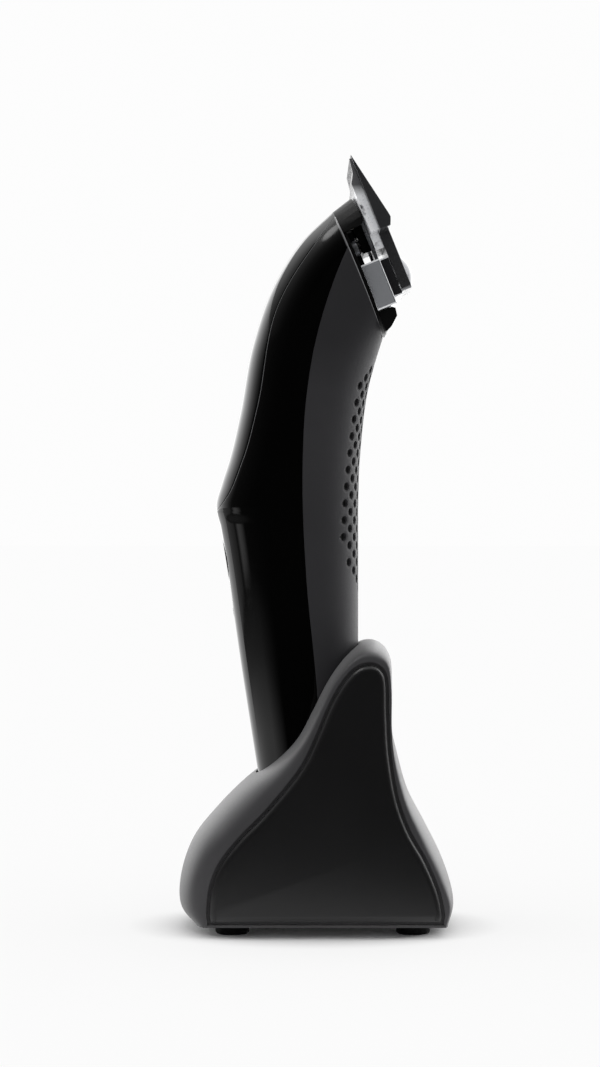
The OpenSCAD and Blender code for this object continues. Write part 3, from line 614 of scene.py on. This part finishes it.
def front_cover():
    first = seam_start(COVER_SEAM)
    stations, end_depth = end_rows(first + (BELOW_RIM - first) * np.linspace(0, 1, 190) ** 1.6)
    cover = seam_angle(COVER_SEAM, stations)
    angles, _, _ = arc_angles(stations, -cover, cover, cover_places)
    depths = np.broadcast_to(edge_depths(COVER_COLUMNS, COVER_T), angles.shape)
    depths = np.maximum(depths, np.minimum(end_depth, COVER_T)[:, None])
    # A hair's breadth of gap along the seam
    gap = np.sign(angles) * 0.0035
    points = body_point(stations[:, None], angles - gap, -depths)
    return grid_object("front_cover_shell", points, {})


def seam_start(rows):
    """First station whose ring crosses the seam."""
    s = np.linspace(60, 90, 3001)
    return s[np.argmax(seam_angle(rows, s) > 0)]


DIMPLE_R, DIMPLE_DEPTH, DIMPLE_PITCH, DIMPLE_Z = 0.88, 0.75, 3.8, 89.2
DIMPLE_COLUMNS, DIMPLE_ZONE = 5, 13.2
# Distance of the latch dents from the middle plane, their distance below the top, and their radius
LATCH_Y, LATCH_DOWN, LATCH_R = 5.4, 1, 0.7
# Lowest and highest half row of each column, from the middle outwards
DIMPLE_LOW = [-7, -6, -5, -4, -3, 0]
DIMPLE_HIGH = [19, 20, 19, 20, 19, 18]


def dimple_depth(across, z):
    """Depth of the dimple pattern, and 1 inside a dimple, where painted shade darkens it. The columns
    spread out towards the stand.
    """
    pitch = 2.3 + (103 - z) * 0.0125
    depth = np.zeros_like(z)
    inside = np.zeros_like(z)
    for column in range(-DIMPLE_COLUMNS, DIMPLE_COLUMNS + 1):
        k = abs(column)
        odd = (k + 1) % 2
        row = np.round(((z - DIMPLE_Z) / (DIMPLE_PITCH / 2) - odd) / 2) * 2 + odd
        row = np.clip(row, DIMPLE_LOW[k], DIMPLE_HIGH[k])
        r = np.hypot(across - column * pitch, z - DIMPLE_Z - row * DIMPLE_PITCH / 2)
        wall = np.clip((DIMPLE_R + 0.1 - r) / 0.2, 0, 1)
        bowl = 0.8 + 0.2 * np.clip(1 - (r / DIMPLE_R) ** 2, 0, 1)
        rim = 0.06 * np.clip(1 - np.abs(r - DIMPLE_R - 0.25) / 0.25, 0, 1)
        depth = np.maximum(depth, wall * wall * (3 - 2 * wall) * bowl * DIMPLE_DEPTH + rim)
        inside = np.maximum(inside, np.clip((DIMPLE_R - 0.02 - r) / 0.12, 0, 1))
    return depth, inside


def rear_places(length):
    """Distances along the rear shell, close together over the dimples' zone."""
    r = edge_radius(length)
    half = length / 2
    side = r + (half - DIMPLE_ZONE - r) * np.linspace(0, 1, 22)
    middle = half + np.linspace(-DIMPLE_ZONE, DIMPLE_ZONE, 165)[1:-1]
    return rounded_ends(length, np.hstack([side, middle, (length - side)[:, ::-1]]), r)


def rear_housing():
    # The stations are closest together over the dimples and the latch dents
    stations, end_depth = end_rows(np.concatenate([
        np.linspace(0, 53, 54), np.arange(53.5, 142, 0.17), np.linspace(142.4, 147, 12),
        np.arange(147.2, 149.6, 0.15),
    ]))
    shell = seam_angle(SHELL_SEAM, stations)
    angles, wanted, length = arc_angles(stations, shell, 2 * math.pi - shell, rear_places)
    depths = edge_depths(angles.shape[1] - 2 * len(EDGE_AT), WALL)
    depths = np.maximum(np.broadcast_to(depths, angles.shape), end_depth[:, None])
    skin = body_point(stations[:, None], angles)
    dimple, inside = dimple_depth(wanted - length / 2, skin[..., 2])
    # A shallow dent on each side where the head is latched, with painted shade inside like the dimples
    down = np.broadcast_to(stations[:, None] - (TOP - LATCH_DOWN), angles.shape)
    latch = np.hypot(np.abs(skin[..., 1]) - LATCH_Y, down)
    latch = np.clip((LATCH_R + 0.1 - latch) / 0.2, 0, 1)
    dimple, inside = np.maximum(dimple, latch), np.maximum(inside, latch)
    points = body_point(stations[:, None], angles, -depths - dimple)
    # The dimple tag marks the painted shade in the dimples and dents, and the rim tag the painted
    # highlight
    tags = {"dimple": inside, "rim": rim_highlight_tag(stations, angles)}
    return grid_object("rear_housing_shell", points, tags)


dress(front_housing(), "gloss_black", "clipper", "front_housing")
dress(front_cover(), "gloss_black", "clipper", "front_cover")
dress(rear_housing(), "matte_grey", "clipper", "rear_housing")

# ---- Stand ----

# Steps between two rows, and how square the stand is from front to back across its width
SUB, STAND_POWER = 8, 2.6


def grown(x, z, grow):
    """The line moved outwards by grow."""
    dx, dz = np.gradient(x), np.gradient(z)
    size = np.hypot(dx, dz)
    return x - dz / size * grow, z + dx / size * grow


def fine_stations(rows):
    return np.linspace(0, len(rows) - 1, (len(rows) - 1) * SUB + 1)


def stand_ring(y, half, grow):
    """The stand's outline at y: the middle's, running over into the side's at half its width."""
    rows, s = counted(STAND_ROWS), fine_stations(STAND_ROWS)
    side = 1 - (1 - min(1, abs(y) / half) ** STAND_POWER) ** (1 / STAND_POWER)
    x = smooth(rows, s, 1) * (1 - side) + smooth(rows, s, 3) * side
    z = smooth(rows, s, 2) * (1 - side) + smooth(rows, s, 4) * side
    out_x, out_z = grown(x, z, grow)
    out_z[[0, -1]] = FOOT_H + min(0, grow)
    return np.stack([out_x, np.full_like(x, y), out_z], axis=-1)


def stand_solid(name, grow, steps):
    half = SIDE_Y + grow
    places = [-half * math.cos(math.pi * i / steps) for i in range(steps + 1)]
    return loft_object(name, [stand_ring(y, half, grow) for y in places])


def panel_ring(y, grow):
    """The side panel's outline at y, with square lower corners."""
    rows, s = counted(PANEL_ROWS), fine_stations(PANEL_ROWS)
    x, z = smooth(rows, s, 1), smooth(rows, s, 2)
    out_x, out_z = grown(x, z, grow)
    out_x[[0, -1]] = x[0] - grow, x[-1] + grow
    out_z[[0, -1]] = z[[0, -1]] - grow
    return np.stack([out_x, np.full_like(x, y), out_z], axis=-1)


# Height of the socket's floor, the gap and the wall round the clipper, and the last station in it
SOCKET_FLOOR, SOCKET_GAP, SOCKET_WALL, SOCKET_REACH = 17.4, 0.5, 2.5, 66
PANEL_EDGE = 1.5


def around(count):
    """Angles round a circle."""
    return np.linspace(0, 2 * math.pi, count + 1)[:-1]


def socket_space(name, grow):
    """The clipper's lower end grown by a gap, down to the socket's floor."""
    turn = -around(120)
    stations = [0, *np.linspace(0, SOCKET_REACH, 34)]
    rings = [body_point(np.full(len(turn), float(s)), turn, grow) for s in stations]
    rings[0][:, 2] = SOCKET_FLOOR - max(0, grow - SOCKET_GAP)
    return loft_object(name, rings)


def side_panel(side):
    """A raised panel with a rounded edge, standing in its pocket."""
    turn = np.linspace(0, math.pi / 2, 9)
    arc = [
        (STAND_W - PANEL_EDGE + PANEL_EDGE * math.sin(a), -PANEL_EDGE * (1 - math.cos(a)))
        for a in turn
    ]
    rings = [panel_ring(side * (SIDE_Y - POCKET), 0)] + [panel_ring(side * y, g) for y, g in arc]
    obj = loft_object("side_panel_" + ("left" if side < 0 else "right") + "_face", rings)
    smooth_shading(obj, 40)
    return obj


INLET_R, INLET_Z, INLET_X = 4.6, 11, (22, 40)
# Middle, half lengths and heights of the opening over the contacts
CONTACT_X, WINDOW_X, WINDOW_Y, WINDOW_Z = -0.5, 6.7, 8.7, (3, 30)


def inlet_hole():
    turn = around(48)
    y, z = INLET_R * np.cos(turn), INLET_Z + INLET_R * np.sin(turn)
    rings = [np.stack([np.full(len(turn), x), y, z], axis=-1) for x in INLET_X]
    return loft_object("inlet_hole", rings)


def contact_window():
    """The opening in the socket's floor over the contact holder."""
    corners = [(-1, -1), (1, -1), (1, 1), (-1, 1)]
    rings = [[[CONTACT_X + WINDOW_X * i, WINDOW_Y * j, z] for i, j in corners] for z in WINDOW_Z]
    return loft_object("window", rings)


def panel_pocket(side):
    rings = [panel_ring(side * y, GROOVE) for y in (SIDE_Y - POCKET, SIDE_Y + 4)]
    return loft_object("pocket", rings)


STAND_SLICES = 96
stand = stand_solid("stand_body", 0, STAND_SLICES)
combine(stand, stand_solid("hollow", -STAND_WALL, 24), "DIFFERENCE")
socket_wall = socket_space("socket_wall", SOCKET_WALL)
combine(socket_wall, stand_solid("within", -0.05, STAND_SLICES), "INTERSECT")
combine(stand, socket_wall, "UNION")
combine(stand, socket_space("socket", SOCKET_GAP), "DIFFERENCE")
for side in (-1, 1):
    combine(stand, panel_pocket(side), "DIFFERENCE")
combine(stand, inlet_hole(), "DIFFERENCE")
combine(stand, contact_window(), "DIFFERENCE")
smooth_shading(stand, 30)
dress(stand, "stand_black", "stand", "stand_shell")
for side, node in ((-1, "side_panel_left"), (1, "side_panel_right")):
    panel = dress(side_panel(side), "satin_black", "stand", node)
    panel.data.materials[0] = PANEL_BLACK

# ---- Contact springs ----

WIRE, COILS, PIN_TRAVEL = 0.2, 5, 1.0


def contact_spring(node):
    """A coil in the CAD spring's box, from the holder's floor to the pin's collar."""
    low, high = (np.array(corner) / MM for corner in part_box(node))
    middle = (low + high) / 2
    length = high[2] - low[2]
    turn = np.linspace(0, 2 * math.pi * COILS, 24 * COILS + 1)[:, None]
    section = around(12)[None, :]
    reach = (high[1] - low[1]) / 2 - WIRE + WIRE * np.cos(section)
    height = low[2] + WIRE + (length - 2 * WIRE) * turn / turn[-1] + WIRE * np.sin(section)
    x, y = middle[0] + reach * np.cos(turn), middle[1] + reach * np.sin(turn)
    rings = np.stack([x, y, height], axis=-1)
    obj = loft_object(node + "_coil", list(rings))
    smooth_shading(obj, 60)
    dress(obj, "plain_steel", "stand", node)
    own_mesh(obj)


for hand in ("left", "right"):
    contact_spring("pin_spring_" + hand)

# ---- The other CAD parts keep their meshes, with soft edges and a real finish ----

EDGE_WIDTH = {
    "fixed_blade": 0.07, "moving_blade": 0.04, "blade_block": 0.28, "head_cap": 0.3, "chin": 0.35,
    "rubber_feet": 0.4, "blade_screws": 0.25, "block_screws": 0.12,
}
# Every other node's edge width, and the turn in degrees that makes an edge
OTHER_EDGES, EDGE_TURN = 0.1, 32
# Ground steel has plain chamfers, and flat faces up to them
CHAMFERED = {"fixed_blade", "moving_blade", "blade_block"}


def finish_node(node, obj):
    """Smooth faces and soft edges for a CAD node, or flat ones and a chamfer for ground steel."""
    obj.data.materials.clear()
    obj.data.materials.append(OWN_LOOK.get(node, SLOTS[slot_of[node]]))
    ground = node in CHAMFERED
    obj.data.polygons.foreach_set("use_smooth", [not ground] * len(obj.data.polygons))
    if "custom_normal" in obj.data.attributes:
        obj.data.attributes.remove(obj.data.attributes["custom_normal"])
    obj.modifiers.new("weld", "WELD").merge_threshold = WELD
    bevel = obj.modifiers.new("bevel", "BEVEL")
    bevel.limit_method = "ANGLE"
    bevel.angle_limit = math.radians(EDGE_TURN)
    bevel.width = EDGE_WIDTH.get(node, OTHER_EDGES) * MM
    bevel.segments = 1 if ground else 3
    bevel.use_clamp_overlap = node not in ("blade_block", "fixed_blade")
    if node == "blade_block":
        # The block's chamfers get the painted highlight material
        obj.data.materials.append(painted_chamfer_highlight())
        bevel.material = 1
    if not ground:
        bevel.miter_outer = "MITER_ARC"
        weighted = obj.modifiers.new("normals", "WEIGHTED_NORMAL")
        weighted.keep_sharp = False
        weighted.weight = 80


for node, obj in nodes.items():
    if not obj.hide_render:
        finish_node(node, obj)

# ---- Studio: pale floor, white surroundings, and cards that only reflections see ----

scene = bpy.context.scene
scene.view_settings.view_transform = "Standard"
world = bpy.data.worlds.new("surroundings")
scene.world = world
world.use_nodes = True
world.node_tree.nodes["Background"].inputs["Color"].default_value = (1, 1, 1, 1)
WORLD = 0.98
world.node_tree.nodes["Background"].inputs["Strength"].default_value = WORLD


def floor_look():
    """White near the stand, where its shadow falls. Further out the floor is darker and glows, at
    the same brightness, so that the shadow stays close to the stand."""
    near, far, level = 0.985, 0.25, 0.972
    start, end = 0.95, 1.4
    material, shader = base_material("floor", grey(0.96), 0.9, specular=0.0)
    shader.inputs["Emission Color"].default_value = (1, 1, 1, 1)
    tree = material.node_tree
    place = tree.nodes.new("ShaderNodeTexCoord")
    scale = tree.nodes.new("ShaderNodeMapping")
    scale.inputs["Scale"].default_value = (1 / 0.031, 1 / 0.027, 0)
    reach = tree.nodes.new("ShaderNodeVectorMath")
    reach.operation = "LENGTH"
    tree.links.new(place.outputs["Object"], scale.inputs["Vector"])
    tree.links.new(scale.outputs["Vector"], reach.inputs[0])
    white = spread(material, reach.outputs["Value"], near, far, start, end)
    low, high = level - WORLD * near, level - WORLD * far
    glow = spread(material, reach.outputs["Value"], low, high, start, end)
    tree.links.new(white, shader.inputs["Base Color"])
    tree.links.new(glow, shader.inputs["Emission Strength"])
    return material


FLOOR_REACH = 20
floor_mesh = bpy.data.meshes.new("floor")
floor_corners = [
    (x * FLOOR_REACH, y * FLOOR_REACH, 0) for x, y in ((-1, -1), (1, -1), (1, 1), (-1, 1))
]
floor_mesh.from_pydata(floor_corners, [], [(0, 1, 2, 3)])
floor_mesh.materials.append(floor_look())
floor = bpy.data.objects.new("floor", floor_mesh)
collection.objects.link(floor)


def emitter(name, verts, faces, glow):
    """A glowing sheet that only reflections see, with its brightness given at each corner."""
    mesh = bpy.data.meshes.new(name)
    mesh.from_pydata(verts, [], faces)
    mesh.attributes.new("glow", "FLOAT", "POINT").data.foreach_set("value", glow)
    obj = bpy.data.objects.new(name, mesh)
    collection.objects.link(obj)
    material = bpy.data.materials.new(name)
    material.use_nodes = True
    tree = material.node_tree
    tree.nodes.clear()
    level = tree.nodes.new("ShaderNodeAttribute")
    level.attribute_name = "glow"
    light = tree.nodes.new("ShaderNodeEmission")
    light.inputs["Color"].default_value = (1, 1, 1, 1)
    out = tree.nodes.new("ShaderNodeOutputMaterial")
    tree.links.new(level.outputs["Fac"], light.inputs["Strength"])
    tree.links.new(light.outputs["Emission"], out.inputs["Surface"])
    mesh.materials.append(material)
    obj.visible_camera = False
    obj.visible_diffuse = False
    obj.visible_shadow = False
    obj.visible_transmission = False


def sector(name, stops, place, fall=(1, 1)):
    """A sheet over a range of angles, in degrees from -Y towards +X. A stop is [angle, brightness].
    place gives the sheet's two edges from sine and cosine, and fall their share of the brightness."""
    first, last = stops[0][0], stops[-1][0]
    angles = np.linspace(first, last, int(abs(last - first) / 2) + 2)
    glow = np.interp(angles, [a for a, _ in stops], [g for _, g in stops])
    verts = [corner for a in np.radians(angles) for corner in place(math.sin(a), -math.cos(a))]
    faces = [(2 * i, 2 * i + 1, 2 * i + 3, 2 * i + 2) for i in range(len(angles) - 1)]
    emitter(name, verts, faces, (glow[:, None] * np.array(fall)).ravel().astype(np.float32))


def card(name, radius, low, high, stops, fall=(1, 1)):
    """An upright curved card round the object."""
    sector(name, stops, lambda s, c: [(radius * s, radius * c, h) for h in (low, high)], fall)


def floor_flag(name, near, far, stops, fall=(1, 1)):
    """A flat sector just over the floor."""
    sector(name, stops, lambda s, c: [(r * s, r * c, 0.6 * MM) for r in (near, far)], fall)


# Brightness of the dark side, as seen in the near side's reflections
FLAG = 0.016
front_dark = [
    [-20, FLAG], [30, FLAG], [60, 0.02], [84, 0.08], [98, 0.8], [114, 3.5], [130, 5], [150, 5],
]
card("surround_low", 1.5, -0.2, 0.7, [
    [-170, 2.2], [-130, 1.6], [-113, 0.8], [-101, 0.3], [-92, 0.08], [-60, 0.04], [-40, 0.02],
] + front_dark)
card("surround_high_left", 1.5, 0.7, 2.4, [
    [-170, 2.2], [-130, 1.6], [-112, 0.9], [-89, 0.6], [-64, 0.22], [-43, 0.08], [-20, FLAG],
], (0.25, 1.5))
card("surround_high", 1.5, 0.7, 2.4, front_dark)
floor_flag("dark_floor", 0.075, 1.5, [[-25, FLAG], [88, FLAG]])
floor_flag("left_floor_inner", 0.14, 0.2, [[-60, 0.95], [-25, FLAG]])
floor_flag("left_floor_near", 0.2, 0.3, [[-125, 0.95], [-60, 0.95], [-25, FLAG]], (1, 0.3))
floor_flag("left_floor_middle", 0.3, 0.42, [[-125, 0.3], [-60, 0.3], [-25, FLAG]], (1, 0.2))
floor_flag("left_floor_far", 0.42, 1.5, [
    [-125, 0.4], [-99, 0.3], [-92, 0.06], [-84, 1], [-76, 0.8], [-66, 0.05], [-25, FLAG],
])
card("high_left_light", 1.0, 1.35, 2.6, [[-170, 5], [-85, 5], [-58, 0.5]])
card("right_high_light", 1.4, 0.45, 2.2, [[80, 0.3], [95, 3.5], [120, 3.5]])
card("right_back_light", 1.4, 0.05, 1.6, [[112, 0.6], [125, 3], [175, 3]])
